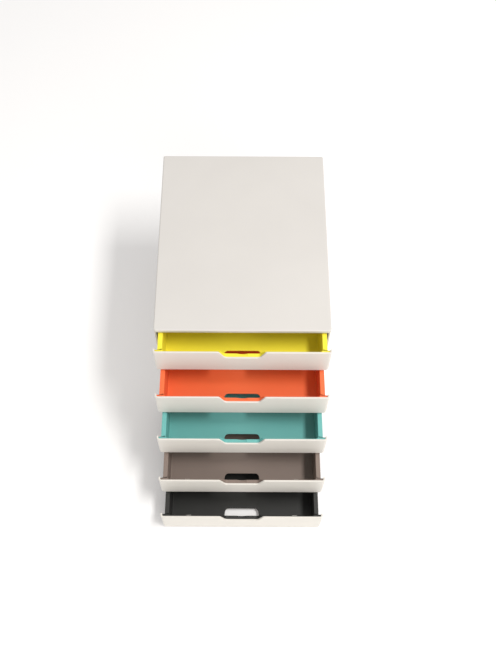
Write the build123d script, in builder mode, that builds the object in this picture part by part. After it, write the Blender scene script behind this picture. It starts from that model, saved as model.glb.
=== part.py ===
from build123d import *
import os

os.makedirs("parts", exist_ok=True)

# A desktop drawer tower for A4 and C4 papers. Five coloured trays run on ribs moulded along the
# inside of an open-fronted casing, each behind a clipped-on front with a finger notch.
# Millimetres. +X is to the right, the fronts face -Y and +Z is up. The origin is on the floor,
# under the middle of the whole part as it stands with its drawers pulled out in steps.

# ---------------------------------------------------------------- driving dimensions

# Casing
case_width = 280.0
case_depth = 356.0
case_height = 292.0
case_wall = 2.5
cover_skirt = 6.0           # height of the cover's rim, which closes the box above the top front
cover_edge_round = 2.2
cover_inner_round = 1.0
cover_rib_width = 1.4
cover_rib_height = 1.5
front_corner_round = 5.0    # corners of the cover and of the fronts, seen from above
back_corner_round = 2.4
panel_edge_round = 0.8
back_field_depth = 0.8
back_field_margin = 16.0
back_field_round = 8.0

# Base, feet and screws
foot_height = 3.0
foot_radius = 8.0
foot_inset = 20.0           # from the casing's outside to a foot's centre
foot_seat_depth = 1.0
base_rib_height = 1.0
base_rib_width = 1.6
screw_shank_radius = 1.6
screw_head_radius = 3.1
screw_head_height = 1.2
screw_length = 10.0
screw_slot_width = 0.8
screw_slot_depth = 0.7
screw_inset = 44.0          # from the casing's front and back to a screw
boss_radius = 3.4
boss_height = 12.0

# Fronts
front_skin = 2.8
front_return = 8.0          # how far a front's ends wrap back round the corners
front_gap = 2.0             # between two fronts
end_gap = 1.0               # above the top front and below the lowest
front_lower_round = 5.0
front_edge_bevel = 0.6
front_ledge = 1.5           # stiffening ledge along the lower edge
front_ledge_reach = 4.5
notch_top_width = 74.0
notch_bottom_width = 55.0
notch_depth = 16.5
notch_top_round = 4.0
notch_bottom_round = 6.0
hook_spread = 92.0          # from the middle to a hook
hook_width = 8.0
hook_thickness = 1.6
hook_reach = 4.8
hook_nib = 1.2
hook_edge_distance = 8.0    # from a tray's rim or underside to the nearest hook

# Trays
tray_wall = 2.0
tray_floor = 2.0
tray_draft = 0.8            # how much each wall leans in from the rim to the floor
tray_corner_round = 6.0     # at the rim
rim_drop = 3.0              # from the front's top edge down to the rim
rim_thickness = 2.2
rim_overhang = 5.5          # the rim's run outside the tray's side
rim_back_overhang = 2.0
rim_front_depth = 4.4
rim_corner_round = 5.0
floor_lift = 3.6            # from the front's lower edge up to the tray's underside
tray_back_gap = 3.5         # between a closed tray and the back panel
lip_back = 8.9              # from the front's face to the grip lip's rear edge
lip_height = 5.0
lip_bevel = 1.5
collar_wall = 2.0
dip_width = 17.0
dip_depth = 2.0
hole_near = 10.5            # from the front's face to the floor hole's near edge
hole_far = 32.5
hole_near_width = 64.0
hole_far_width = 58.0
hole_near_round = 3.0
hole_far_round = 6.0
tray_rib_height = 1.0
tray_rib_width = 1.4
tray_rib_spread = 78.0

# Runners and stops
frame_plate = 2.0
runner_thickness = 2.2
keeper_thickness = 2.0
keeper_overlap = 2.0        # how far the rib over a rim reaches across it
runner_lead_length = 6.0
runner_lead_drop = 1.0
gusset_thickness = 1.6
gusset_drop = 9.0
gusset_count = 3
window_count = 2
window_length = 132.0
window_height = 24.0
nose_depth = 4.0
nose_setback = 3.0          # from the frame's front end to the nose
stop_height = 4.0           # how far a tray's stop stands above its rim
stop_length = 10.0
stop_ramp = 2.6

# How the drawers stand and how far they run, from the top one down
pull_outs = (36.0, 86.0, 135.0, 186.0, 232.0)
full_travel = 270.0

# Clearances
front_to_side_gap = 0.5     # between a closed front's wrapped end and the side panel behind it
frame_setback = 0.5         # from the side panel's front edge back to the runner frame
rim_side_gap = 2.5
running_gap = 0.3
stop_gap = 0.3
wall_gap = 0.7              # between a tray's side and the rib that carries its rim
fit_gap = 0.2
screw_gap = 0.15

# ---------------------------------------------------------------- derived places

drawer_count = len(pull_outs)
case_front_y = (max(pull_outs) - case_depth) / 2
case_back_y = case_front_y + case_depth
case_middle_y = (case_front_y + case_back_y) / 2
half_width = case_width / 2
inner_half_width = half_width - case_wall
skirt_bottom_z = case_height - cover_skirt
cover_underside_z = case_height - case_wall
base_top_z = foot_height + case_wall
side_front_y = case_front_y + front_return + front_to_side_gap
back_inner_y = case_back_y - case_wall

front_stack_top = skirt_bottom_z - end_gap
front_stack_bottom = foot_height + end_gap
front_pitch = (front_stack_top - front_stack_bottom + front_gap) / drawer_count
front_height = front_pitch - front_gap
drawer_tops = [front_stack_top - index * front_pitch for index in range(drawer_count)]

frame_front_y = side_front_y + frame_setback
frame_inner_x = inner_half_width - frame_plate
frame_top_z = cover_underside_z - cover_inner_round
rim_half_width = frame_inner_x - rim_side_gap
tray_half_width = rim_half_width - rim_overhang
runner_tip_x = tray_half_width + wall_gap
keeper_tip_x = rim_half_width - keeper_overlap
stop_outer_x = keeper_tip_x - wall_gap
nose_tip_x = tray_half_width + running_gap

# A drawer's own places: y = 0 at the front's face, z = 0 at the front's top edge.
tray_front = front_skin
rim_back = case_depth - case_wall - tray_back_gap
tray_back = rim_back - rim_back_overhang
tray_top = -rim_drop
tray_bottom = floor_lift - front_height
rim_front_half_width = half_width - front_skin - fit_gap
rim_front_round = front_corner_round - front_skin + fit_gap
nose_back = (frame_front_y - case_front_y) + nose_setback + nose_depth
stop_front = nose_back + full_travel + stop_gap
hook_heights = (tray_top - hook_edge_distance, tray_bottom + hook_edge_distance)

hair = 0.01                 # tolerance for picking edges and corners by their place
overcut = 1.0               # how far a cutting shape runs past the solid


def near(place):
    """The two limits that pick what lies at one coordinate."""
    return place - hair, place + hair


def lean(height):
    """How far a tray's walls have leant in at a height below its rim."""
    return tray_draft * (tray_top - height) / (tray_top - tray_bottom)


def tray_outline(height, inset):
    """A tray's rounded outline at a height below its rim, moved inwards by an inset."""
    with BuildSketch(Plane.XY.offset(height)) as outline:
        with Locations((0, (tray_front + tray_back) / 2)):
            RectangleRounded(
                2 * (tray_half_width - lean(height) - inset),
                tray_back - tray_front - 2 * (lean(height) + inset),
                tray_corner_round - lean(height) - inset,
            )
    return outline.sketch


def notch_half_width(depth):
    """Half the finger notch's width at a depth below the front's top edge."""
    slant = (notch_top_width - notch_bottom_width) / 2 / notch_depth
    return notch_top_width / 2 - slant * depth


# ---------------------------------------------------------------- one front, in a drawer's own places

with BuildPart() as front_shape:
    # A skin whose ends wrap back round the corners
    with BuildSketch(Plane.XY.offset(-front_height)) as front_outside:
        with Locations((0, front_return / 2)):
            Rectangle(case_width, front_return)
        fillet(front_outside.vertices().group_by(Axis.Y)[0], front_corner_round)
    extrude(amount=front_height)
    with BuildSketch(Plane.XY.offset(-front_height)) as front_inside:
        with Locations((0, front_skin + front_return / 2)):
            Rectangle(case_width - 2 * front_skin, front_return)
        fillet(front_inside.vertices().group_by(Axis.Y)[0], front_corner_round - front_skin)
    extrude(amount=front_height, mode=Mode.SUBTRACT)

    # The ledge under the tray
    with Locations((0, front_skin + front_ledge_reach / 2, -front_height + front_ledge / 2)):
        Box(case_width - 2 * front_corner_round, front_ledge_reach, front_ledge)

    # Seen from the front: rounded lower corners and the finger notch
    with BuildSketch(Plane.XZ) as front_outline:
        with Locations((0, -front_height / 2)):
            Rectangle(case_width, front_height)
        fillet(front_outline.vertices().group_by(Axis.Y)[0], front_lower_round)
        Polygon(
            (-notch_top_width / 2, 0),
            (-notch_bottom_width / 2, -notch_depth),
            (notch_bottom_width / 2, -notch_depth),
            (notch_top_width / 2, 0),
            align=None,
            mode=Mode.SUBTRACT,
        )
        fillet(front_outline.vertices().filter_by_position(Axis.Y, *near(-notch_depth)), notch_bottom_round)
        notch_mouth = front_outline.vertices().filter_by_position(Axis.Y, *near(0))
        fillet(notch_mouth.filter_by_position(Axis.X, -notch_top_width, notch_top_width), notch_top_round)
    extrude(amount=-front_return, mode=Mode.INTERSECT)

    face_edges = front_shape.faces().sort_by(Axis.Y)[0].edges()
    chamfer(face_edges.filter_by(Axis.Z, reverse=True).sort_by(Axis.Z)[1:], front_edge_bevel)

    # Snap hooks that reach through the tray's front wall
    for hook_x in (-hook_spread, hook_spread):
        for hook_z in hook_heights:
            catch_y = front_skin + tray_wall + lean(hook_z) + fit_gap
            with BuildSketch(Plane.YZ.offset(hook_x)) as hook_profile:
                with Locations((0, hook_z)):
                    Polygon(
                        (front_skin, 0),
                        (front_skin + hook_reach, 0),
                        (front_skin + hook_reach, hook_thickness / 2),
                        (catch_y, hook_thickness + hook_nib),
                        (catch_y, hook_thickness),
                        (front_skin, hook_thickness),
                        align=None,
                    )
            extrude(amount=hook_width / 2, both=True)


# ---------------------------------------------------------------- one tray, in a drawer's own places

with BuildPart() as tray_shape:
    # Drafted box
    loft([tray_outline(tray_bottom, 0), tray_outline(tray_top, 0)], ruled=True)

    # The rim: a flat flange that runs on the ribs, wider at the front to fill the wrapped ends
    with BuildSketch(Plane.XY.offset(tray_top - rim_thickness)) as rim_plan:
        with Locations((0, (tray_front + rim_back) / 2)):
            Rectangle(2 * rim_half_width, rim_back - tray_front)
        fillet(rim_plan.vertices().group_by(Axis.Y)[-1], rim_corner_round)
        with Locations((0, tray_front + rim_front_depth / 2)):
            Rectangle(2 * rim_front_half_width, rim_front_depth)
        fillet(rim_plan.vertices().group_by(Axis.Y)[0], rim_front_round)
    extrude(amount=rim_thickness)

    # The hollow
    hollow_outlines = [tray_outline(tray_bottom + tray_floor, tray_wall), tray_outline(tray_top, tray_wall)]
    loft(hollow_outlines, ruled=True, mode=Mode.SUBTRACT)

    # The collar round the notch, which ends below in the grip lip
    with BuildSketch(Plane.XZ.offset(-tray_front)) as collar_outline:
        Polygon(
            (-notch_half_width(rim_drop) - collar_wall, tray_top),
            (-notch_half_width(notch_depth) - collar_wall, -notch_depth - lip_height),
            (notch_half_width(notch_depth) + collar_wall, -notch_depth - lip_height),
            (notch_half_width(rim_drop) + collar_wall, tray_top),
            align=None,
        )
        fillet(collar_outline.vertices().group_by(Axis.Y)[0], notch_bottom_round)
    extrude(amount=-(lip_back - tray_front))
    collar_back = tray_shape.faces().filter_by_position(Axis.Y, *near(lip_back))
    chamfer(collar_back.edges().group_by(Axis.Z)[0], lip_bevel)

    with BuildSketch(Plane.XZ.offset(overcut - tray_front)) as tray_notch:
        Polygon(
            (-notch_half_width(-overcut), overcut),
            (-notch_half_width(notch_depth), -notch_depth),
            (notch_half_width(notch_depth), -notch_depth),
            (notch_half_width(-overcut), overcut),
            align=None,
        )
        fillet(tray_notch.vertices().group_by(Axis.Y)[0], notch_bottom_round)
    extrude(amount=-(lip_back - tray_front + 2 * overcut), mode=Mode.SUBTRACT)

    # A shallow dip for a fingertip in the middle of the lip
    dip_radius = (dip_width**2 / 4 + dip_depth**2) / (2 * dip_depth)
    with BuildSketch(Plane.XZ.offset(-tray_front - tray_wall)) as dip_outline:
        with Locations((0, dip_radius - notch_depth - dip_depth)):
            Circle(dip_radius)
    extrude(amount=-(lip_back - tray_front), mode=Mode.SUBTRACT)

    # The hole through which a finger lifts the papers
    with BuildSketch(Plane.XY.offset(tray_bottom - overcut)) as hole_outline:
        Polygon(
            (-hole_near_width / 2, hole_near),
            (hole_near_width / 2, hole_near),
            (hole_far_width / 2, hole_far),
            (-hole_far_width / 2, hole_far),
            align=None,
        )
        fillet(hole_outline.vertices().group_by(Axis.Y)[0], hole_near_round)
        fillet(hole_outline.vertices().group_by(Axis.Y)[-1], hole_far_round)
    extrude(amount=tray_floor + 2 * overcut, mode=Mode.SUBTRACT)

    # Slots for the front's hooks, deep enough for a hook to bend down while it goes in
    slot_height = hook_thickness + hook_nib + fit_gap
    slot_middle = hook_thickness + fit_gap / 2 - slot_height / 2
    slot_places = [
        (hook_x, tray_front + (tray_wall + tray_draft) / 2, hook_z + slot_middle)
        for hook_x in (-hook_spread, hook_spread)
        for hook_z in hook_heights
    ]
    with Locations(*slot_places):
        Box(hook_width + 2 * fit_gap, tray_wall + tray_draft + overcut, slot_height, mode=Mode.SUBTRACT)

    # Stops on the rim, ramped behind so that the tray can be tipped in
    stop_width = stop_outer_x - tray_half_width
    for stop_x in (-(tray_half_width + stop_width / 2), tray_half_width + stop_width / 2):
        with BuildSketch(Plane.YZ.offset(stop_x)):
            Polygon(
                (stop_front, tray_top),
                (stop_front + stop_length, tray_top),
                (stop_front + stop_length, tray_top + stop_height - stop_ramp),
                (stop_front + stop_length - stop_ramp, tray_top + stop_height),
                (stop_front, tray_top + stop_height),
                align=None,
            )
        extrude(amount=stop_width / 2, both=True)

    # Stiffening ribs under the floor, clear of the hole
    rib_start = hole_far + tray_corner_round
    rib_length = tray_back - tray_draft - tray_corner_round - rib_start
    with Locations((0, rib_start + rib_length / 2, tray_bottom)):
        with GridLocations(tray_rib_spread, 0, 3, 1):
            Box(tray_rib_width, rib_length, 2 * tray_rib_height)


# ---------------------------------------------------------------- casing

with BuildPart() as top_cover:
    with BuildSketch(Plane.XY.offset(skirt_bottom_z)) as cover_plan:
        with Locations((0, case_middle_y)):
            Rectangle(case_width, case_depth)
        fillet(cover_plan.vertices().group_by(Axis.Y)[0], front_corner_round)
        fillet(cover_plan.vertices().group_by(Axis.Y)[-1], back_corner_round)
    extrude(amount=cover_skirt)
    fillet(top_cover.faces().sort_by(Axis.Z)[-1].edges(), cover_edge_round)

    # Hollow below, with the skirt left all round
    with BuildSketch(Plane.XZ.offset(-case_front_y - case_wall)) as cover_hollow:
        with Locations((0, skirt_bottom_z + (cover_skirt - case_wall) / 2)):
            Rectangle(case_width - 2 * case_wall, cover_skirt - case_wall)
        fillet(cover_hollow.vertices().group_by(Axis.Y)[-1], cover_inner_round)
    extrude(amount=-(case_depth - 2 * case_wall), mode=Mode.SUBTRACT)

    # Stiffening ribs across and along the underside
    rib_z = cover_underside_z - cover_rib_height / 2
    with Locations((0, case_middle_y, rib_z)):
        with GridLocations(case_width / 3, 0, 2, 1):
            Box(cover_rib_width, case_depth - 2 * case_wall, cover_rib_height)
        with GridLocations(0, case_depth / 4, 1, 3):
            Box(case_width - 4 * frame_plate - 2 * case_wall, cover_rib_width, cover_rib_height)
top_cover.part.label = "top_cover"
export_step(top_cover.part, "parts/top_cover.step")


with BuildPart() as side_panel_right:
    with BuildSketch(Plane.XY.offset(foot_height)) as side_plan:
        with Locations((half_width - case_wall / 2, (side_front_y + case_back_y) / 2)):
            Rectangle(case_wall, case_back_y - side_front_y)
        outer_corners = side_plan.vertices().group_by(Axis.X)[-1]
        fillet(outer_corners.group_by(Axis.Y)[-1], back_corner_round)
        fillet(outer_corners.group_by(Axis.Y)[0], panel_edge_round)
    extrude(amount=skirt_bottom_z - foot_height)
side_panel_right.part.label = "side_panel_right"
export_step(side_panel_right.part, "parts/side_panel_right.step")

with BuildPart() as side_panel_left:
    mirror(side_panel_right.part, about=Plane.YZ)
side_panel_left.part.label = "side_panel_left"
export_step(side_panel_left.part, "parts/side_panel_left.step")


with BuildPart() as back_panel:
    panel_height = skirt_bottom_z - foot_height
    with BuildSketch(Plane.XZ.offset(-back_inner_y)):
        with Locations((0, foot_height + panel_height / 2)):
            Rectangle(2 * inner_half_width, panel_height)
    extrude(amount=-case_wall)
    # A shallow sunk field stiffens the plate
    with BuildSketch(Plane.XZ.offset(-case_back_y)):
        with Locations((0, foot_height + panel_height / 2)):
            RectangleRounded(
                2 * (inner_half_width - back_field_margin),
                panel_height - 2 * back_field_margin,
                back_field_round,
            )
    extrude(amount=back_field_depth, mode=Mode.SUBTRACT)
back_panel.part.label = "back_panel"
export_step(back_panel.part, "parts/back_panel.step")


foot_spread_x = half_width - foot_inset
foot_spread_y = case_depth / 2 - foot_inset
foot_places = {
    "foot_front_left": (-foot_spread_x, case_middle_y - foot_spread_y),
    "foot_front_right": (foot_spread_x, case_middle_y - foot_spread_y),
    "foot_back_left": (-foot_spread_x, case_middle_y + foot_spread_y),
    "foot_back_right": (foot_spread_x, case_middle_y + foot_spread_y),
}
boss_x = frame_inner_x - boss_radius + fit_gap
screw_places = [
    (side * boss_x, along)
    for side in (-1, 1)
    for along in (case_front_y + screw_inset, case_back_y - screw_inset)
]

with BuildPart() as base_plate:
    base_length = back_inner_y - side_front_y
    base_middle_y = (side_front_y + back_inner_y) / 2
    with Locations((0, base_middle_y, foot_height + case_wall / 2)):
        Box(2 * inner_half_width, base_length, case_wall)
    # Ribs under the plate
    with Locations((0, base_middle_y, foot_height - base_rib_height / 2)):
        with GridLocations(0, base_length / 4, 1, 3):
            Box(2 * inner_half_width - 4 * foot_radius, base_rib_width, base_rib_height)
        with GridLocations(case_width / 3, 0, 2, 1):
            Box(base_rib_width, base_length - 4 * foot_radius, base_rib_height)
    # Seats for the feet
    with Locations(*[(x, y, foot_height + foot_seat_depth / 2) for x, y in foot_places.values()]):
        Cylinder(foot_radius + fit_gap, foot_seat_depth, mode=Mode.SUBTRACT)
    # Holes for the screws, whose heads lie under the plate beside the feet
    with Locations(*[(x, y, foot_height + case_wall / 2) for x, y in screw_places]):
        Cylinder(screw_shank_radius + screw_gap, case_wall, mode=Mode.SUBTRACT)
base_plate.part.label = "base_plate"
export_step(base_plate.part, "parts/base_plate.step")


for foot_name, (foot_x, foot_y) in foot_places.items():
    with BuildPart() as foot:
        with BuildSketch():
            with Locations((foot_x, foot_y)):
                Circle(foot_radius)
        extrude(amount=foot_height + foot_seat_depth)
    foot.part.label = foot_name
    export_step(foot.part, f"parts/{foot_name}.step")


with BuildPart() as screw_shape:
    with BuildSketch():
        Circle(screw_head_radius)
    extrude(amount=screw_head_height)
    with BuildSketch():
        Circle(screw_shank_radius)
    extrude(amount=screw_length)
    with Locations((0, 0, screw_slot_depth / 2)):
        Box(2 * screw_head_radius, screw_slot_width, screw_slot_depth, mode=Mode.SUBTRACT)

with BuildPart() as base_screws:
    with Locations(*[(x, y, foot_height - screw_head_height) for x, y in screw_places]):
        add(screw_shape.part)
base_screws.part.label = "base_screws"
export_step(base_screws.part, "parts/base_screws.step")


# ---------------------------------------------------------------- runner frames

frame_length = back_inner_y - frame_front_y
frame_middle_y = (frame_front_y + back_inner_y) / 2


def add_rib(inner_x, low_z, high_z, lead_low, lead_high):
    """A rib along the frame, its front end narrowed below or above so that a rim finds its way in."""
    with BuildSketch(Plane.YZ.offset(inner_x)) as rib_profile:
        Polygon(
            (frame_front_y, low_z + lead_low),
            (frame_front_y + runner_lead_length, low_z),
            (back_inner_y, low_z),
            (back_inner_y, high_z),
            (frame_front_y + runner_lead_length, high_z),
            (frame_front_y, high_z - lead_high),
            align=None,
        )
    extrude(rib_profile.sketch, amount=frame_inner_x - inner_x)


def add_gussets(runner_z):
    """Small triangular webs that hold a runner up from below."""
    first = frame_front_y + runner_lead_length
    step = (frame_length - 2 * runner_lead_length) / (gusset_count - 1)
    for index in range(gusset_count):
        web_y = first + index * step
        with BuildSketch(Plane.XZ.offset(-web_y)) as web_profile:
            Polygon(
                (frame_inner_x, runner_z),
                (runner_tip_x + wall_gap, runner_z),
                (frame_inner_x, runner_z - gusset_drop),
                align=None,
            )
        extrude(web_profile.sketch, amount=gusset_thickness / 2, both=True)


def add_windows(middle_z):
    """Openings that save plastic in the frame's plate, between two levels of ribs."""
    with BuildSketch(Plane.YZ.offset(frame_inner_x)) as window_row:
        with Locations((frame_middle_y, middle_z)):
            with GridLocations(frame_length / window_count, 0, window_count, 1):
                Rectangle(window_length, window_height)
    extrude(window_row.sketch, amount=frame_plate, mode=Mode.SUBTRACT)


with BuildPart() as runner_frame_right:
    plate_height = frame_top_z - base_top_z
    with Locations((frame_inner_x + frame_plate / 2, frame_middle_y, base_top_z + plate_height / 2)):
        Box(frame_plate, frame_length, plate_height)
    for drawer_top in drawer_tops:
        rim_top_z = drawer_top - rim_drop
        runner_top_z = rim_top_z - rim_thickness - running_gap
        runner_low_z = runner_top_z - runner_thickness
        keeper_low_z = rim_top_z + running_gap
        keeper_top_z = keeper_low_z + keeper_thickness
        add_rib(runner_tip_x, runner_low_z, runner_top_z, 0, runner_lead_drop)
        add_rib(keeper_tip_x, keeper_low_z, keeper_top_z, runner_lead_drop, 0)
        add_gussets(runner_low_z)
        add_windows((runner_low_z + drawer_top - front_pitch) / 2 - gusset_drop / 4)
        # The nose that catches the tray's stop
        nose_height = stop_height - running_gap
        nose_y = frame_front_y + nose_setback + nose_depth / 2
        with Locations(((nose_tip_x + frame_inner_x) / 2, nose_y, keeper_low_z + nose_height / 2)):
            Box(frame_inner_x - nose_tip_x, nose_depth, nose_height)
    # Bosses for the base screws
    for along in (case_front_y + screw_inset, case_back_y - screw_inset):
        with Locations((boss_x, along, base_top_z + boss_height / 2)):
            Cylinder(boss_radius, boss_height)
            Cylinder(screw_shank_radius + screw_gap, boss_height, mode=Mode.SUBTRACT)
runner_frame_right.part.label = "runner_frame_right"
export_step(runner_frame_right.part, "parts/runner_frame_right.step")

with BuildPart() as runner_frame_left:
    mirror(runner_frame_right.part, about=Plane.YZ)
runner_frame_left.part.label = "runner_frame_left"
export_step(runner_frame_left.part, "parts/runner_frame_left.step")


# ---------------------------------------------------------------- the drawers in their places

for number, (pull_out, drawer_top) in enumerate(zip(pull_outs, drawer_tops), start=1):
    drawer_place = (0, case_front_y - pull_out, drawer_top)

    with BuildPart() as tray:
        with Locations(drawer_place):
            add(tray_shape.part)
    tray.part.label = f"tray_{number}"
    export_step(tray.part, f"parts/tray_{number}.step")

    with BuildPart() as front_panel:
        with Locations(drawer_place):
            add(front_shape.part)
    front_panel.part.label = f"front_panel_{number}"
    export_step(front_panel.part, f"parts/front_panel_{number}.step")
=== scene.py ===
# %% [markdown]
# # A plastic drawer tower
#
# This lesson dresses a desktop drawer box: an off-white casing, five coloured trays that are pulled
# out in steps, and a white front with a finger notch on each tray. The sizes come from the packed
# frame, so every piece below is built in its real place, in metres.

# %% Load the frame and measure it
import math

import bpy
import numpy as np
from mathutils import Matrix, Vector


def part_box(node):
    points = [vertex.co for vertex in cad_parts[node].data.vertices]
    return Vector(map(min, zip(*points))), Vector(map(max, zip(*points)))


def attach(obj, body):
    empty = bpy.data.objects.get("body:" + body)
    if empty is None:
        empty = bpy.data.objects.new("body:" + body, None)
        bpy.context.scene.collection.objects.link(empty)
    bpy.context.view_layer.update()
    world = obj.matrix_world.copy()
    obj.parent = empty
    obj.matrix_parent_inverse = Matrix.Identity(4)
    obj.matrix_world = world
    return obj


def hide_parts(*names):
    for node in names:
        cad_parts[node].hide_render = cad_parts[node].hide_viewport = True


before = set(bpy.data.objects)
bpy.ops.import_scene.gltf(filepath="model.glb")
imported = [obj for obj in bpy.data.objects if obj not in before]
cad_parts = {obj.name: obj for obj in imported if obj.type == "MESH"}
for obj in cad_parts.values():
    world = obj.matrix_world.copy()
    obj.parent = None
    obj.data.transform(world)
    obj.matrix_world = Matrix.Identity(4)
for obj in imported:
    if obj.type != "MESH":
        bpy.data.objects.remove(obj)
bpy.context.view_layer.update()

# %% [markdown]
# ## Where each drawer stands
#
# Every drawer is the same moulding in another colour. It is shaped once in its own places, with
# y = 0 at the front's face and z = 0 at the front's top edge, and the corner of each CAD front says
# where the copy goes. All of the lengths below are written in millimetres and turned into metres by
# one factor.

# %% Places of the five drawers
MM = 0.001
TRAY_COLOURS = ("yellow", "orange", "turquoise", "taupe", "charcoal")
drawer_places = []
for number in range(1, len(TRAY_COLOURS) + 1):
    low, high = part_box(f"front_panel_{number}")
    drawer_places.append(np.array([0.0, low.y, high.z]))
low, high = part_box("front_panel_1")
half_width = (high.x - low.x) / 2 / MM
front_height = (high.z - low.z) / MM
print("drawers stand at", np.round(drawer_places, 4).tolist())

# %% [markdown]
# ## From grids to closed meshes
#
# Each moulding is a surface of two parameters: one runs along the piece and the other round its
# section. numpy works out the whole grid of points at once, and the faces are the little squares
# between neighbouring points. A signed volume tells whether a shell has been turned inside out, so
# that its faces can be flipped before they reach the mesh.

# %% Helper: quads of a grid
def grid_quads(rows, columns, rows_wrap):
    """Corner numbers of the squares of a grid. The columns are joined end to start, and so are
    the rows when they wrap."""
    row = np.arange(rows if rows_wrap else rows - 1)[:, None]
    column = np.arange(columns)[None, :]
    next_row, next_column = (row + 1) % rows, (column + 1) % columns
    corners = (row * columns + column, row * columns + next_column,
               next_row * columns + next_column, next_row * columns + column)
    return np.stack(np.broadcast_arrays(*corners), axis=-1).reshape(-1, 4)


# %% Helper: a closed shell
def shell(grid, rows_wrap=False):
    """Points and faces of a closed surface: quads on the grid, and a flat cap on each open end.
    The signed volume is a sixth of the sum of a . (b x c) over the faces' triangles."""
    rows, columns = grid.shape[:2]
    points = grid.reshape(-1, 3)
    quads = grid_quads(rows, columns, rows_wrap)
    caps = []
    if not rows_wrap:
        caps = [np.arange(columns)[::-1], (rows - 1) * columns + np.arange(columns)]
    a, b, c, d = (points[quads[:, k]] for k in range(4))
    volume = np.einsum("ij,ij->", a, np.cross(b, c)) + np.einsum("ij,ij->", a, np.cross(c, d))
    for cap in caps:
        fan = points[cap]
        volume += np.einsum("j,ij->", fan[0], np.cross(fan[1:-1], fan[2:]))
    faces = quads.tolist() + [cap.tolist() for cap in caps]
    if volume < 0:
        faces = [face[::-1] for face in faces]
    return points, faces


# %% Helper: a piece of the object
def make_piece(name, shells, place, body, material, stands_for):
    """One mesh of several closed shells (in mm), moved by a place (in m) and riding on a body. It
    takes the place of the CAD nodes that it stands for."""
    points, faces, start = [], [], 0
    for shell_points, shell_faces in shells:
        points.append(shell_points)
        faces += [[start + corner for corner in face] for face in shell_faces]
        start += len(shell_points)
    mesh = bpy.data.meshes.new(name)
    mesh.from_pydata(np.concatenate(points) * MM + place, [], faces)
    mesh.shade_smooth()
    mesh.set_sharp_from_angle(angle=math.radians(50))
    mesh.materials.append(material)
    piece = bpy.data.objects.new(name, mesh)
    bpy.context.scene.collection.objects.link(piece)
    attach(piece, body)
    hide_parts(*stands_for)
    print(f"{name}: {len(mesh.vertices)} points, {len(mesh.polygons)} faces")


# %% [markdown]
# ## Lines with rounded corners
#
# The notch, the floor hole and the plan of a tray are all straight lines joined by arcs. One helper
# rounds the corners of an open line: each arc touches both straight lines, so it starts
# radius / tan(half the corner's angle) away from the corner, and its points are spread evenly by
# turning from one touching point to the other.

# %% Helper: an open line with rounded corners
def rounded_line(corners, radii, arc_points=9):
    """Straight lines between corners, with an arc in place of each inner corner.
    Arc point t is centre + (sin((1 - t) w) A + sin(t w) B) / sin(w), where A and B point from the
    centre to the touching points and w is the angle between them."""
    corners = np.asarray(corners, float)
    inner = corners[1:-1]
    radii = np.broadcast_to(radii, len(inner))[:, None]
    back = corners[:-2] - inner
    ahead = corners[2:] - inner
    back /= np.linalg.norm(back, axis=1, keepdims=True)
    ahead /= np.linalg.norm(ahead, axis=1, keepdims=True)
    half_angle = np.arccos(np.clip((back * ahead).sum(1, keepdims=True), -1, 1)) / 2
    middle = back + ahead
    middle /= np.linalg.norm(middle, axis=1, keepdims=True)
    centre = inner + middle * radii / np.sin(half_angle)
    first = inner + back * radii / np.tan(half_angle) - centre
    last = inner + ahead * radii / np.tan(half_angle) - centre
    turn = np.pi - 2 * half_angle
    t = np.linspace(0, 1, arc_points)[None, :, None]
    turn, first, last, centre = turn[:, None], first[:, None], last[:, None], centre[:, None]
    arcs = centre + (np.sin((1 - t) * turn) * first + np.sin(t * turn) * last) / np.sin(turn)
    return np.concatenate([corners[:1], arcs.reshape(-1, 2), corners[-1:]])


def spread(line, count):
    """The same line with evenly spaced points."""
    along = np.concatenate([[0], np.cumsum(np.linalg.norm(np.diff(line, axis=0), axis=1))])
    places = np.linspace(0, along[-1], count)
    return np.stack([np.interp(places, along, line[:, k]) for k in range(2)], axis=1)


# %% Helper: a rounded edge
def round_over(r, count=4):
    """A quarter circle round an edge, as pairs (r (1 - sin a), r (1 - cos a)): the distance still
    to go to the corner, and the distance already turned away from the first face."""
    a = np.linspace(0, np.pi / 2, count)
    return list(zip(r * (1 - np.sin(a)), r * (1 - np.cos(a))))


# %% Sizes that the front and the tray share
skin = 2.8                # thickness of the front
notch_top = 74.0          # width of the notch at the front's top edge
notch_bottom = 55.0       # and at its lower edge
notch_depth = 16.5
slant = (notch_top - notch_bottom) / 2 / notch_depth


def notch_half(depth):
    """Half the notch's width at a depth below the front's top edge."""
    return notch_top / 2 - slant * depth


notch_line = rounded_line(
    [(-half_width, 0), (-notch_top / 2, 0), (-notch_bottom / 2, -notch_depth),
     (notch_bottom / 2, -notch_depth), (notch_top / 2, 0), (half_width, 0)],
    (4, 6, 6, 4), arc_points=12)
print("notch line has", len(notch_line), "points")

# %% [markdown]
# ## The white fronts
#
# A front is a thin strip of plastic whose ends wrap back round the corners of the casing. It could
# be a box with bevels and a boolean for the notch, but booleans leave ragged edges. Here it is a
# profile carried along a path: the path is the front's plan (a straight run, a quarter turn and a
# short return at each end), and the profile is the strip's section, whose top follows the notch
# and whose foot follows the rounded lower corners. Rounded edges come with the profile.

# %% The front's path and its upper and lower edges
corner_round = 5.0
end_return = 8.0
lower_round = 5.0
run = half_width - corner_round
arc_length = corner_round * np.pi / 2
beside_notch = np.linspace(45, run, 14)
front_x = np.concatenate([-beside_notch[::-1], spread(notch_line[1:-1], 96)[:, 0], beside_notch])
arc_s = np.linspace(0, arc_length, 10)[1:]
side_s = np.linspace(arc_length, arc_length + end_return - corner_round, 4)[1:]
ends = run + np.concatenate([arc_s, side_s])
path_s = np.concatenate([-ends[::-1], front_x, ends])
print("front path has", len(path_s), "stations over", round(float(np.ptp(path_s)), 1), "mm")


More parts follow.
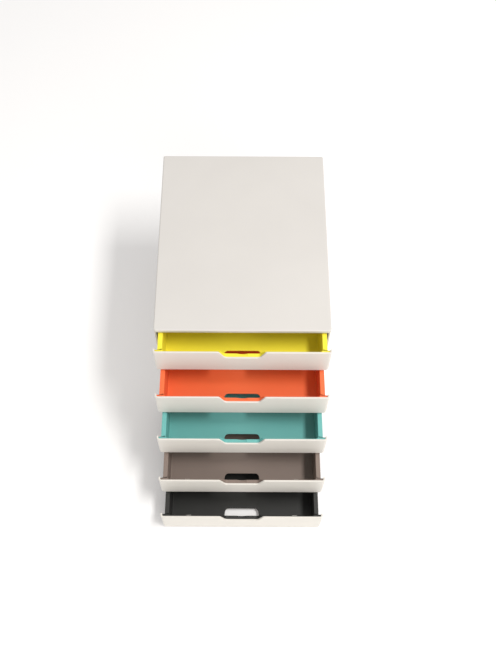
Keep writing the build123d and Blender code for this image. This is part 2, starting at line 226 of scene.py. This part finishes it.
def wrapped(s, height, depth):
    """The strip laid round the corners: s along its outer face, depth inwards from that face.
    On a corner the point turns by s / radius about the corner's centre."""
    side = np.sign(s)
    over = np.clip(np.abs(s) - run, 0, arc_length)
    rest = np.clip(np.abs(s) - run - arc_length, 0, None)
    turn = over / corner_round
    x = side * (np.minimum(np.abs(s), run) + (corner_round - depth) * np.sin(turn))
    y = corner_round - (corner_round - depth) * np.cos(turn) + rest
    return np.stack([x, y, np.broadcast_to(height, x.shape)], axis=-1)


# %% The front's surface
def front_shell():
    """Section corners are rounded by r: the loop goes up the face, over the top, down the back
    and under the foot. At angle a an edge point is r (1 - cos a) deep and r (1 - sin a) short of
    the outline, measured square to it, and the ends shrink the section in the same way."""
    r = 0.55
    soft = 0.35               # an extra line this far past each round keeps the flat's shading flat
    end = path_s[-1]
    from_end = r * np.array([0, 0.13, 0.5, 1])    # a quarter circle in steps of 30 degrees
    s = np.concatenate([from_end - end, path_s[1:-1], end - from_end[::-1]])
    shrink = np.concatenate([from_end[::-1], np.zeros(len(path_s) - 2), from_end])

    plan_x = wrapped(s, 0.0, 0.0)[:, 0]
    top = np.interp(plan_x, notch_line[:, 0], notch_line[:, 1])
    beyond = np.clip(np.abs(plan_x) - (half_width - lower_round), 0, lower_round)
    foot = -front_height + lower_round - np.sqrt(lower_round**2 - beyond**2)
    lean_top = np.arctan(np.gradient(top, s))
    lean_foot = np.arctan(np.gradient(foot, s))
    lean_top[np.abs(s) > run] = 0
    lean_foot[np.abs(s) > run] *= 0.5

    # One section: (0 at the foot or 1 at the top, distance from the outline, depth)
    edge_round = round_over(r, 5)
    face = [(0, r + soft, 0), (1, r + soft, 0)]
    over_top = [(1, e, d) for e, d in edge_round]
    down = [(1, e, skin - d) for e, d in edge_round[::-1]]
    back = [(1, r + soft, skin), (0, r + soft, skin)]
    under = [(0, e, skin - d) for e, d in edge_round]
    up = [(0, e, d) for e, d in edge_round[::-1]]
    section = face + over_top + down + back + under + up
    at_top, distance, depth = (np.array(column, float)[:, None] for column in zip(*section))

    depth = np.where(depth < skin / 2, depth + shrink, depth - shrink)
    distance = distance + shrink
    tilt = np.where(at_top > 0.5, lean_top, lean_foot)
    edge = np.where(at_top > 0.5, top, foot)
    inward = np.where(at_top > 0.5, -1.0, 1.0)
    height = edge + inward * distance * np.cos(tilt)
    along = s - inward * distance * np.sin(tilt)
    return shell(np.swapaxes(wrapped(along, height, depth), 0, 1))


# %% [markdown]
# ## Small mouldings: ribs, hooks and stops
#
# Ribs, snap hooks and stops are short lengths of a constant profile. Cubes with a Bevel modifier
# would do for the ribs but not for the hooks' slanted noses, so one helper makes them all. A profile
# is a loop of points, and the grid carries it along one axis. At both ends the loop shrinks a little
# towards its middle, which rounds the ends off as a mould does.

# %% Helper: a short length of a profile
def profile_bar(profile, start, stop, axis, ease=0.3):
    """The loop (u, v) carried along an axis, 0 for x and 1 for y, from start to stop. Its corners
    and its ends are rounded by the ease: the end loops shrink by 1 and by 0.3 of it on each side."""
    profile = rounded_loop(np.asarray(profile, float), ease)
    centre = profile.mean(axis=0)
    size = np.ptp(profile, axis=0).min()
    closing = 1 - np.array([2.0, 0.6, 0.0]) * ease / size
    scale = np.concatenate([closing, closing[::-1]])
    step = np.array([0.0, 0.3, 1.0]) * ease
    place = np.concatenate([start + step, stop - step[::-1]])
    loops = centre + (profile - centre)[None] * scale[:, None, None]
    grid = np.empty((len(place), len(profile), 3))
    grid[..., axis] = place[:, None]
    grid[..., 1 - axis] = loops[..., 0]
    grid[..., 2] = loops[..., 1]
    return shell(grid)


def rounded_loop(corners, radius, arc_points=4):
    """A closed loop with an arc at each corner: the open helper on the loop and its neighbours."""
    looped = np.concatenate([corners[-1:], corners, corners[:1]])
    return rounded_line(looped, radius, arc_points)[1:-1]


# %% The ledge and the hooks behind a front
hook_heights = (-11.0, -43.0)     # undersides of the upper and lower pair
hook_middle = 92.0
hook_half = 4.0


def front_fittings():
    """The stiffening ledge behind the lower edge and four snap hooks, as the frame has them. Both
    start 0.4 mm inside the front, so that no gap opens between the shells."""
    ledge = [(skin - 0.4, -front_height), (skin + 4.5, -front_height),
             (skin + 4.5, -front_height + 1.5), (skin - 0.4, -front_height + 1.5)]
    bars = [profile_bar(ledge, -run, run, axis=0)]
    for z in hook_heights:
        hook = [(skin - 0.4, z), (skin + 4.8, z), (skin + 4.8, z + 0.8), (skin + 2.7, z + 2.8),
                (skin + 2.6, z + 1.6), (skin - 0.4, z + 1.6)]
        for x in (-hook_middle, hook_middle):
            bars.append(profile_bar(hook, x - hook_half, x + hook_half, axis=0, ease=0.15))
    return bars


# %% [markdown]
# ## The coloured trays
#
# A tray is a thin-walled moulding with a flat rim and a hole in its floor. Its wall could be made
# with Solidify, but then every thickness would be the same. Instead, the whole tray is one closed
# surface between rails: each rail is a line all round the tray at one height, and the rails are
# listed in the order in which a section of the wall meets them: from the hole, across the floor, up
# the inside, over the rim, down the outside and back under the floor to the hole.

# %% The tray's sizes, in mm from the front's face and top edge
tray_front = skin
tray_back = 348.0
rim_back = 350.0
tray_half = 127.5         # half the tray's width over its walls
rim_half = 133.0
ear_half = 137.0          # the rim's front bar reaches into the front's wrapped ends
ear_depth = 4.4
wall_thickness = 2.0
floor_thickness = 2.0
draft = 0.8               # how far a wall leans in between the rim and the floor
rim_top = -3.0
rim_thickness = 2.2
tray_foot = 3.6 - front_height
lip_back = 8.9            # rear edge of the grip lip
lip_height = 5.0
hole_near, hole_far = 10.5, 32.5              # front and rear edge of the finger hole
hole_near_half, hole_far_half = 32.0, 29.0    # and half its width along them


def lean(z):
    """How far the drafted wall has leant in at a height, in a straight line from the rim."""
    return draft * (rim_top - z) / (rim_top - tray_foot)


# %% One rail
# stations across half of the front, close together where the notch's slanting side is cut
side_x = np.concatenate([np.linspace(0, 22, 8), np.linspace(24, 39, 31), np.linspace(44, 116, 10)])


def rail(half, ear, front, back, corner_front, corner_back, z,
         squeeze=1.0, step=tray_front + ear_depth):
    """A line round the tray: half of it from the middle of the front to the middle of the back,
    and its mirror image. Corners are quarter circles, centre + radius (cos a, sin a). In front of
    the step the line is as wide as the ear, and behind it as wide as the half."""
    a = np.linspace(-np.pi / 2, 0, 9)
    b = np.linspace(0, np.pi / 2, 9)
    front_run = np.stack([side_x * squeeze, np.full(len(side_x), front)], 1)
    front_arc = np.stack([ear - corner_front + corner_front * np.cos(a),
                          front + corner_front + corner_front * np.sin(a)], 1)
    steps = np.array([[ear, step - 0.15], [ear, step], [half, step + 0.02], [half, step + 0.2]])
    side_y = np.linspace(step + 6, back - corner_back - 0.6, 16)
    side = np.stack([np.full(len(side_y), half), side_y], 1)
    back_arc = np.stack([half - corner_back + corner_back * np.cos(b),
                         back - corner_back + corner_back * np.sin(b)], 1)
    back_x = np.linspace(half - corner_back - 0.6, 0, 14)
    back_run = np.stack([back_x, np.full(len(back_x), back)], 1)
    right = np.concatenate([front_run, front_arc, steps, side, back_arc, back_run])
    left = right[::-1][1:-1] * [-1, 1]
    plan = np.concatenate([right, left])
    return np.concatenate([plan, np.full((len(plan), 1), float(z))], 1)


# %% The kinds of rail
def outer_rail(z, inset=0.0):
    """Outside of the wall, which leans in towards the floor."""
    off = lean(z) + inset
    radius = max(6.0 - off, 0.5)
    return rail(tray_half - off, tray_half - off, tray_front + off + 0.02, tray_back - off,
                radius, radius, z)


def inner_rail(z, inset=0.0):
    """Inside of the wall."""
    return outer_rail(z, inset + wall_thickness)


def rim_rail(z, inset=0.0):
    """Outer edge of the flat rim, with its two ears at the front."""
    return rail(rim_half - inset, ear_half - inset, tray_front + inset, rim_back - inset,
                2.4, 5.0 - inset, z, step=tray_front + ear_depth - inset)


def hole_rail(z, grow=0.0):
    """The finger hole: a rounded rectangle whose width shrinks linearly from near to far."""
    near, far = hole_near - grow, hole_far + grow
    near_half, far_half = hole_near_half + grow, hole_far_half + grow
    line = rail(near_half, near_half, near, far, 3.0 + grow, 6.0 + grow, z,
                squeeze=(near_half - 3.5) / side_x[-1], step=17.0)
    taper = 1 - (near_half - far_half) / near_half * (line[:, 1] - near) / (far - near)
    line[:, 0] *= taper
    return line


# %% The tray's surface
def drop_at_notch(line):
    """Lowers the wall's top to 1.2 mm under the notch, where the grip collar takes its place."""
    depth = -np.interp(line[:, 0], notch_line[:, 0], notch_line[:, 1])
    drop = np.clip(depth + rim_top + 1.2, 0, None) * (line[:, 1] < lip_back)
    return line - np.stack([np.zeros_like(drop), np.zeros_like(drop), drop], 1)


def tray_shell():
    """The rails in section order. Each edge is a quarter circle of rails, and each flat has an
    extra rail beside its edges that keeps its shading flat."""
    floor_top = tray_foot + floor_thickness
    rim_foot = rim_top - rim_thickness
    blend = 1.6               # round between the floor and the wall, inside
    foot_round = 1.8          # and outside
    rim_round = 0.45

    rails = [hole_rail(tray_foot, 1.2)]
    rails += [hole_rail(tray_foot + d, e) for e, d in round_over(0.3)]
    rails += [hole_rail(floor_top - d, e) for e, d in round_over(0.5)[::-1]]
    rails += [hole_rail(floor_top, 1.2), inner_rail(floor_top, blend + 4.0)]
    rails += [inner_rail(floor_top, blend + 0.4)]
    rails += [inner_rail(floor_top + d, e) for e, d in round_over(blend, 6)]
    rails += [inner_rail(floor_top + blend + 0.5)]

    rails += [drop_at_notch(inner_rail(rim_top - 0.9))]
    rails += [drop_at_notch(inner_rail(rim_top - e, -d)) for e, d in round_over(0.5)]
    rails += [drop_at_notch(inner_rail(rim_top, -0.8)), drop_at_notch(rim_rail(rim_top, 0.8))]
    rails += [drop_at_notch(rim_rail(rim_top - d, e)) for e, d in round_over(rim_round)]
    rails += [drop_at_notch(rim_rail(rim_foot + e, d)) for e, d in round_over(rim_round)]
    rails += [drop_at_notch(outer_rail(rim_foot, -0.4)), drop_at_notch(outer_rail(rim_foot))]
    rails += [drop_at_notch(outer_rail(rim_foot - 0.5))]

    rails += [outer_rail(tray_foot + 2.4)]
    rails += [outer_rail(tray_foot + e, d) for e, d in round_over(foot_round, 6)]
    rails += [outer_rail(tray_foot, 2.4)]
    return shell(np.stack(rails), rows_wrap=True)


# %% [markdown]
# ## The grip collar
#
# Below the notch the tray's wall thickens into a collar that fills the white front's notch from
# behind, and ends in a lip with a shallow dip for a fingertip. It could be cut from a block with
# booleans, but then its rounds would have to be bevelled afterwards. Here it is a band between two
# rails, the notch's own line and a lower, wider one, carried from the tray's face to the lip's rear
# edge.

# %% The collar's surface
collar_points = 121
dip_chord, dip_depth = 17.0, 2.0
dip_radius = (dip_chord**2 / 4 + dip_depth**2) / (2 * dip_depth)


def collar_rail(wider, deeper):
    """The notch's line from rim to rim, made wider on each side and deeper."""
    upper = notch_half(-rim_top) + wider
    lower = notch_half(notch_depth) + wider
    bottom = -notch_depth - deeper
    corners = [(-upper, rim_top), (-lower, bottom), (lower, bottom), (upper, rim_top)]
    return spread(rounded_line(corners, 6.0, 16), collar_points)


def collar_shell():
    """Rails are rounded lines across the front. The section loop runs over the band's top from
    front to rear and back along its underside, and the band's sides grow 3.3 mm shorter from the
    lip up to the rim. The dip is an arc of a circle: z = -(sqrt(R^2 - x^2) - (R - depth)), where
    R = (chord^2 / 4 + depth^2) / (2 depth)."""
    inner = collar_rail(0, 0)
    outer = collar_rail(wall_thickness, lip_height)
    across = outer - inner
    thickness = np.linalg.norm(across, axis=1, keepdims=True)
    across = across / thickness
    bevel = np.clip((thickness - 1.8) * 0.6, 0.5, 1.5)
    risen = np.clip((inner[:, 1] + notch_depth) / (notch_depth + rim_top), 0, 1)
    reach = lip_back - 3.3 * risen

    section = [(inner, tray_front), (inner, tray_front + 1.9), (inner, tray_front + 2.1)]
    section += [(inner + across * d, reach - e) for e, d in round_over(0.5, 5)]
    section += [(outer - across * bevel * e, reach - bevel[:, 0] * d) for e, d in round_over(1.0, 5)]
    section += [(outer, tray_front)]
    grid = np.empty((len(section), collar_points, 3))
    for row, (line, y) in enumerate(section):
        grid[row, :, 0] = line[:, 0]
        grid[row, :, 1] = y
        grid[row, :, 2] = line[:, 1]

    circle = np.sqrt(np.clip(dip_radius**2 - grid[..., 0] ** 2, 0, None))
    dip = np.clip(circle - (dip_radius - dip_depth), 0, None)
    dipped = (grid[..., 1] > tray_front + 2.0) & (grid[..., 2] > -notch_depth - 1.5)
    grid[..., 2] -= dip * dipped
    return shell(np.swapaxes(grid, 0, 1))


# %% The tray's stops and ribs
stop_start = 286.3        # front face of a stop
stop_middle = 128.9
stop_half = 1.4
rib_places = (-78.0, 0.0, 78.0)
rib_start, rib_end = 41.0, 341.2
rib_half = 0.7


def tray_fittings():
    """Stops on the rim, which keep the drawer in the casing, and ribs under the floor."""
    stop = [(stop_start, rim_top - 0.5), (stop_start + 10, rim_top - 0.5),
            (stop_start + 10, rim_top + 1.4), (stop_start + 7.4, rim_top + 4),
            (stop_start, rim_top + 4)]
    bars = []
    for x in (-stop_middle, stop_middle):
        bars.append(profile_bar(stop, x - stop_half, x + stop_half, axis=0))
    for x in rib_places:
        rib = [(x - rib_half, tray_foot + 0.3), (x + rib_half, tray_foot + 0.3),
               (x + rib_half, tray_foot - 1), (x - rib_half, tray_foot - 1)]
        bars.append(profile_bar(rib, rib_start, rib_end, axis=1, ease=0.2))
    return bars


# %% [markdown]
# ## The top cover
#
# The cover is a shallow lid with softly rounded edges. A bevelled cube has the same outside, but
# not the hollow below. So the cover is a stack of rounded rectangles: each rail is its outline,
# moved inwards and downwards round a quarter circle for the edge, and then up again inside.

# %% The cover's surface
cover_low, cover_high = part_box("top_cover")
cover_front_corner, cover_back_corner = 5.0, 2.4
cover_edge = 2.2
cover_thickness = 2.5


def cover_rail(z, inset):
    """A rounded rectangle on the cover's plan. Its corners shrink with the inset."""
    half = cover_high.x / MM - inset
    near, far = cover_low.y / MM + inset, cover_high.y / MM - inset
    r_near = max(cover_front_corner - inset, 0.4)
    r_far = max(cover_back_corner - inset, 0.4)
    a = np.linspace(-np.pi / 2, 0, 12)
    b = np.linspace(0, np.pi / 2, 12)
    right = np.concatenate([
        np.stack([half - r_near + r_near * np.cos(a), near + r_near + r_near * np.sin(a)], 1),
        np.stack([half - r_far + r_far * np.cos(b), far - r_far + r_far * np.sin(b)], 1)])
    plan = np.concatenate([right, right[::-1] * [-1, 1]])
    return np.concatenate([plan, np.full((len(plan), 1), float(z))], 1)


def cover_shell():
    """Over the top and down the skirt, then up inside the hollow to the lid's underside."""
    top, foot = cover_high.z / MM, cover_low.z / MM
    edge, thick = cover_edge, cover_thickness
    rails = [cover_rail(top, edge + 3.0), cover_rail(top, edge + 0.4)]
    rails += [cover_rail(top - d, e) for e, d in round_over(edge, 9)]
    rails += [cover_rail(top - edge - 0.3, 0), cover_rail(foot + 0.6, 0)]
    rails += [cover_rail(foot + e, d) for e, d in round_over(0.3)]
    rails += [cover_rail(foot, thick - 0.3), cover_rail(foot + 0.3, thick)]
    rails += [cover_rail(top - thick - 1.0, thick)]
    rails += [cover_rail(top - thick, thick + 1.0), cover_rail(top - thick, thick + 4.0)]
    return shell(np.stack(rails))


# %% [markdown]
# ## Finishes
#
# All of the surfaces share three effects, each built once as a node group: the fine grain that a
# spark-eroded mould leaves, a faint cloudiness of colour from the melt's flow, and a little dust
# and handling that dulls the gloss in patches. A group gives out only values and colours, so the
# Principled shader stays in each material, where its constants are set on its own sockets. Image
# textures could do the same, but these effects need no files and stay sharp at any distance.

# %% Helper: node groups
def new_group(name, inputs, outputs):
    """An empty shader node group with named float or colour sockets, and its two end nodes."""
    group = bpy.data.node_groups.new(name, "ShaderNodeTree")
    for direction, sockets in (("INPUT", inputs), ("OUTPUT", outputs)):
        for socket, kind, value in sockets:
            made = group.interface.new_socket(
                socket, in_out=direction, socket_type=f"NodeSocket{kind}")
            if direction == "INPUT":
                made.default_value = value
    start = group.nodes.new("NodeGroupInput")
    end = group.nodes.new("NodeGroupOutput")
    return group, start, end


def noise(group, coordinates, scale, detail=2.0, roughness=0.5):
    """A noise texture on object coordinates; scale is in waves per metre."""
    node = group.nodes.new("ShaderNodeTexNoise")
    node.inputs["Detail"].default_value = detail
    node.inputs["Roughness"].default_value = roughness
    if isinstance(scale, float):
        node.inputs["Scale"].default_value = scale
    else:
        group.links.new(scale, node.inputs["Scale"])
    group.links.new(coordinates, node.inputs["Vector"])
    return node.outputs["Fac"]


def math_node(group, operation, first, second):
    """A Math node; either value may be a socket or a number."""
    node = group.nodes.new("ShaderNodeMath")
    node.operation = operation
    for socket, value in zip(node.inputs, (first, second)):
        if isinstance(value, (int, float)):
            socket.default_value = value
        else:
            group.links.new(value, socket)
    return node.outputs[0]


# %% The three shared effects
def build_grain():
    """Height of a moulded grain: small cells from Voronoi, softened with fine noise."""
    group, start, end = new_group(
        "moulded_grain",
        [("Scale", "Float", 900.0), ("Softness", "Float", 0.5)],
        [("Height", "Float", 0)])
    place = group.nodes.new("ShaderNodeTexCoord").outputs["Object"]
    cells = group.nodes.new("ShaderNodeTexVoronoi")
    cells.feature = "SMOOTH_F1"
    group.links.new(place, cells.inputs["Vector"])
    group.links.new(start.outputs["Scale"], cells.inputs["Scale"])
    fine = noise(group, place, math_node(group, "MULTIPLY", start.outputs["Scale"], 1.7))
    soft = math_node(group, "MULTIPLY", fine, start.outputs["Softness"])
    height = math_node(group, "ADD", cells.outputs["Distance"], soft)
    group.links.new(height, end.inputs["Height"])
    return group


def build_cloud():
    """Colour with a faint cloudiness: it is scaled by 1 + Amount * (noise - 0.5)."""
    group, start, end = new_group(
        "melt_cloud",
        [("Color", "Color", (1, 1, 1, 1)), ("Amount", "Float", 0.1), ("Scale", "Float", 9.0)],
        [("Color", "Color", None)])
    place = group.nodes.new("ShaderNodeTexCoord").outputs["Object"]
    cloud = noise(group, place, start.outputs["Scale"], 3.0, 0.6)
    swing = math_node(group, "SUBTRACT", cloud, 0.5)
    swing = math_node(group, "MULTIPLY", swing, start.outputs["Amount"])
    factor = math_node(group, "ADD", swing, 1.0)
    scale = group.nodes.new("ShaderNodeVectorMath")
    scale.operation = "SCALE"
    group.links.new(start.outputs["Color"], scale.inputs[0])
    group.links.new(factor, scale.inputs["Scale"])
    group.links.new(scale.outputs[0], end.inputs["Color"])
    return group


def build_handling():
    """Roughness that rises where hands and dust have dulled the surface: it grows by
    Amount * smear * (speck + 0.5)."""
    group, start, end = new_group(
        "handling_dust",
        [("Roughness", "Float", 0.35), ("Amount", "Float", 0.15), ("Scale", "Float", 25.0)],
        [("Roughness", "Float", 0)])
    place = group.nodes.new("ShaderNodeTexCoord").outputs["Object"]
    smear = noise(group, place, start.outputs["Scale"], 5.0, 0.65)
    speck = noise(group, place, 700.0, 1.0, 0.5)
    mask = math_node(group, "MULTIPLY", smear, math_node(group, "ADD", speck, 0.5))
    extra = math_node(group, "MULTIPLY", mask, start.outputs["Amount"])
    dulled = math_node(group, "ADD", start.outputs["Roughness"], extra)
    group.links.new(dulled, end.inputs["Roughness"])
    return group


GRAIN, CLOUD, HANDLING = build_grain(), build_cloud(), build_handling()
print("node groups:", [group.name for group in bpy.data.node_groups])


# %% Helper: a grained material
def grained_material(name, colour, roughness, grain_scale, grain_height,
                     cloud=0.08, handling=0.15, specular=0.5, metallic=0.0):
    """A Principled material with a clouded colour, patchy roughness and a grain bump. The grain
    has grain_scale cells per metre and is grain_height metres high."""
    material = bpy.data.materials.new(name)
    material.use_nodes = True
    tree = material.node_tree
    shader = tree.nodes["Principled BSDF"]
    shader.inputs["Specular IOR Level"].default_value = specular
    shader.inputs["Metallic"].default_value = metallic
    groups = []
    for group in (GRAIN, CLOUD, HANDLING):
        node = tree.nodes.new("ShaderNodeGroup")
        node.node_tree = group
        groups.append(node)
    grain, clouded, handled = groups
    grain.inputs["Scale"].default_value = grain_scale
    clouded.inputs["Color"].default_value = (*colour, 1)
    clouded.inputs["Amount"].default_value = cloud
    handled.inputs["Roughness"].default_value = roughness
    handled.inputs["Amount"].default_value = handling
    bump = tree.nodes.new("ShaderNodeBump")
    bump.inputs["Strength"].default_value = 1.0
    bump.inputs["Distance"].default_value = grain_height
    tree.links.new(grain.outputs["Height"], bump.inputs["Height"])
    tree.links.new(bump.outputs["Normal"], shader.inputs["Normal"])
    tree.links.new(clouded.outputs["Color"], shader.inputs["Base Color"])
    tree.links.new(handled.outputs["Roughness"], shader.inputs["Roughness"])
    print(f"material {name}: colour {colour}, roughness {roughness}")
    return material


# %% [markdown]
# ## The materials
#
# The casing has a matt, finely grained skin, and the fronts are smoother and a touch brighter. The
# trays are dyed through, with a satin face. The runner frames inside carry painted shade, a
# near-black colour for the shade in the deep gap beside the trays. The feet are soft rubber, and the
# base screws are plated steel, which is the only metal. One helper serves them all, since they
# differ only in numbers.

# %% The materials
casing_plastic = grained_material("casing_plastic", (0.70, 0.67, 0.635), 0.48, 1400.0, 0.00004)
front_plastic = grained_material("front_plastic", (0.77, 0.735, 0.675), 0.34, 1800.0, 0.000015)
# painted shade: the runner frames are coloured near black to stand for the shade in the gap beside
# the trays
runner_plastic = grained_material("runner_plastic", (0.075, 0.068, 0.06), 0.5, 1500.0, 0.00002)
tray_finishes = {
    "yellow": ((1.0, 0.86, 0.055), 0.36),
    "orange": ((0.92, 0.17, 0.055), 0.36),
    "turquoise": ((0.16, 0.48, 0.45), 0.36),
    "taupe": ((0.245, 0.187, 0.158), 0.38),
    "charcoal": ((0.023, 0.023, 0.021), 0.38),
}
tray_plastics = []
for name in TRAY_COLOURS:
    colour, roughness = tray_finishes[name]
    tray_plastics.append(grained_material(f"{name}_plastic", colour, roughness, 1600.0, 0.00002))
foot_rubber = grained_material("foot_rubber", (0.03, 0.03, 0.032), 0.75, 2500.0, 0.00005)
screw_steel = grained_material("screw_steel", (0.62, 0.62, 0.6), 0.32, 3000.0, 0.00001,
                               metallic=1.0)

# %% [markdown]
# ## Assembling the object
#
# Each made piece takes the place of the CAD nodes that it stands for, and rides on their body, so
# that it moves with the joint. The five drawers share the same shells, which are worked out once.
# The flat panels and the hidden pieces keep their CAD meshes and only get a material, since finer
# meshes would show nothing more.

# %% Make the drawers
tray_shells = [tray_shell(), collar_shell(), *tray_fittings()]
front_shells = [front_shell(), *front_fittings()]
for number, place in enumerate(drawer_places, start=1):
    body = f"drawer_{number}"
    make_piece(f"tray_moulding_{number}", tray_shells, place, body,
               tray_plastics[number - 1], [f"tray_{number}"])
    make_piece(f"front_moulding_{number}", front_shells, place, body,
               front_plastic, [f"front_panel_{number}"])

# %% Make the cover and dress the casing
make_piece("cover_moulding", [cover_shell()], np.zeros(3), "casing",
           casing_plastic, ["top_cover"])
finishes = {
    "side_panel_left": casing_plastic, "side_panel_right": casing_plastic,
    "back_panel": casing_plastic, "base_plate": casing_plastic,
    # the runner frames get the near-black painted shade
    "runner_frame_left": runner_plastic, "runner_frame_right": runner_plastic,
    "base_screws": screw_steel,
    "foot_front_left": foot_rubber, "foot_front_right": foot_rubber,
    "foot_back_left": foot_rubber, "foot_back_right": foot_rubber,
}
for node, material in finishes.items():
    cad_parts[node].data.materials.clear()
    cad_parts[node].data.materials.append(material)
print("dressed", len(finishes), "CAD nodes")

# %% [markdown]
# ## Floor, light and camera
#
# The box stands on a plain white floor that glows faintly, so that it stays as pale as the
# photograph's ground even in the shade. One long soft lamp hangs high on the right, a little in
# front of the box's middle, and draws the soft shadow on the left. A weaker lamp in front lights
# the drawers' faces, and a pale surrounding fills the rest. The camera could be placed by eye, but
# then the drawers' steps would not line up, so it is fitted to corners measured in the photograph.

# %% The floor
def make_floor():
    """A wide flat square at z = 0, where the feet stand."""
    reach = 8.0
    corners = np.array([(-1, -1, 0), (1, -1, 0), (1, 1, 0), (-1, 1, 0)]) * reach
    mesh = bpy.data.meshes.new("studio_floor")
    mesh.from_pydata(corners, [], [(0, 1, 2, 3)])
    paper = grained_material("white_paper", (0.93, 0.93, 0.93), 0.9, 300.0, 0.00002,
                             cloud=0.01, specular=0.1)
    shader = paper.node_tree.nodes["Principled BSDF"]
    shader.inputs["Emission Color"].default_value = (1.0, 0.93, 0.89, 1)
    shader.inputs["Emission Strength"].default_value = 0.17
    mesh.materials.append(paper)
    floor_object = bpy.data.objects.new("studio_floor", mesh)
    bpy.context.scene.collection.objects.link(floor_object)


make_floor()

# %% The lights
def area_light(name, size, power, place, target, colour):
    """A rectangular soft light that looks at a target. Its width lies along X and its length as
    near to Y as the view allows: the axes are z = place - target, x = Y x z and y = z x x."""
    data = bpy.data.lights.new(name, "AREA")
    data.shape = "RECTANGLE"
    data.size, data.size_y = size
    data.energy = power
    data.color = colour
    light = bpy.data.objects.new(name, data)
    bpy.context.scene.collection.objects.link(light)
    z_axis = (Vector(place) - Vector(target)).normalized()
    x_axis = Vector((0, 1, 0)).cross(z_axis).normalized()
    turn = Matrix((x_axis, z_axis.cross(x_axis), z_axis)).transposed()
    light.matrix_world = Matrix.Translation(place) @ turn.to_4x4()
    return light


key_light = area_light("key_light", size=(0.45, 1.4), power=58.0, place=(1.25, -0.6, 2.9),
                       target=(0, 0, 0.2), colour=(1.0, 0.985, 0.965))
front_fill = area_light("front_fill", size=(1.6, 1.0), power=16.0, place=(0.6, -2.2, 1.9),
                        target=(0, -0.1, 0.15), colour=(1.0, 0.975, 0.94))
world = bpy.data.worlds.new("studio_world")
world.use_nodes = True
world.node_tree.nodes["Background"].inputs["Color"].default_value = (1, 1, 1, 1)
world.node_tree.nodes["Background"].inputs["Strength"].default_value = 0.5
bpy.context.scene.world = world
bpy.context.scene.view_settings.view_transform = "Standard"
for light in (key_light, front_fill):
    print(light.name, light.data.energy, "W")

# %% The camera
def make_camera(place, pitch, roll, focal_pixels, centre, image=(496, 664)):
    """Looks along +Y and down by the pitch. The lens follows from the focal length in pixels on
    the longer side, and the shift moves the optical centre to its place in the photograph."""
    data = bpy.data.cameras.new("photo_camera")
    longer = max(image)
    data.sensor_width = 36.0
    data.lens = focal_pixels / longer * data.sensor_width
    data.shift_x = (image[0] / 2 - centre[0]) / longer
    data.shift_y = (centre[1] - image[1] / 2) / longer
    data.clip_end = 60.0
    camera = bpy.data.objects.new("photo_camera", data)
    bpy.context.scene.collection.objects.link(camera)
    tilt = Matrix.Rotation(math.radians(90 - pitch), 4, "X")
    turn = Matrix.Rotation(math.radians(roll), 4, "Z")
    camera.matrix_world = Matrix.Translation(place) @ tilt @ turn
    bpy.context.scene.camera = camera
    print("camera lens", round(data.lens, 2), "mm, shift", round(data.shift_x, 3),
          round(data.shift_y, 3))


make_camera(place=(0, -0.672, 1.3006), pitch=66.01, roll=0.27, focal_pixels=748.4,
            centre=(242.05, 425))
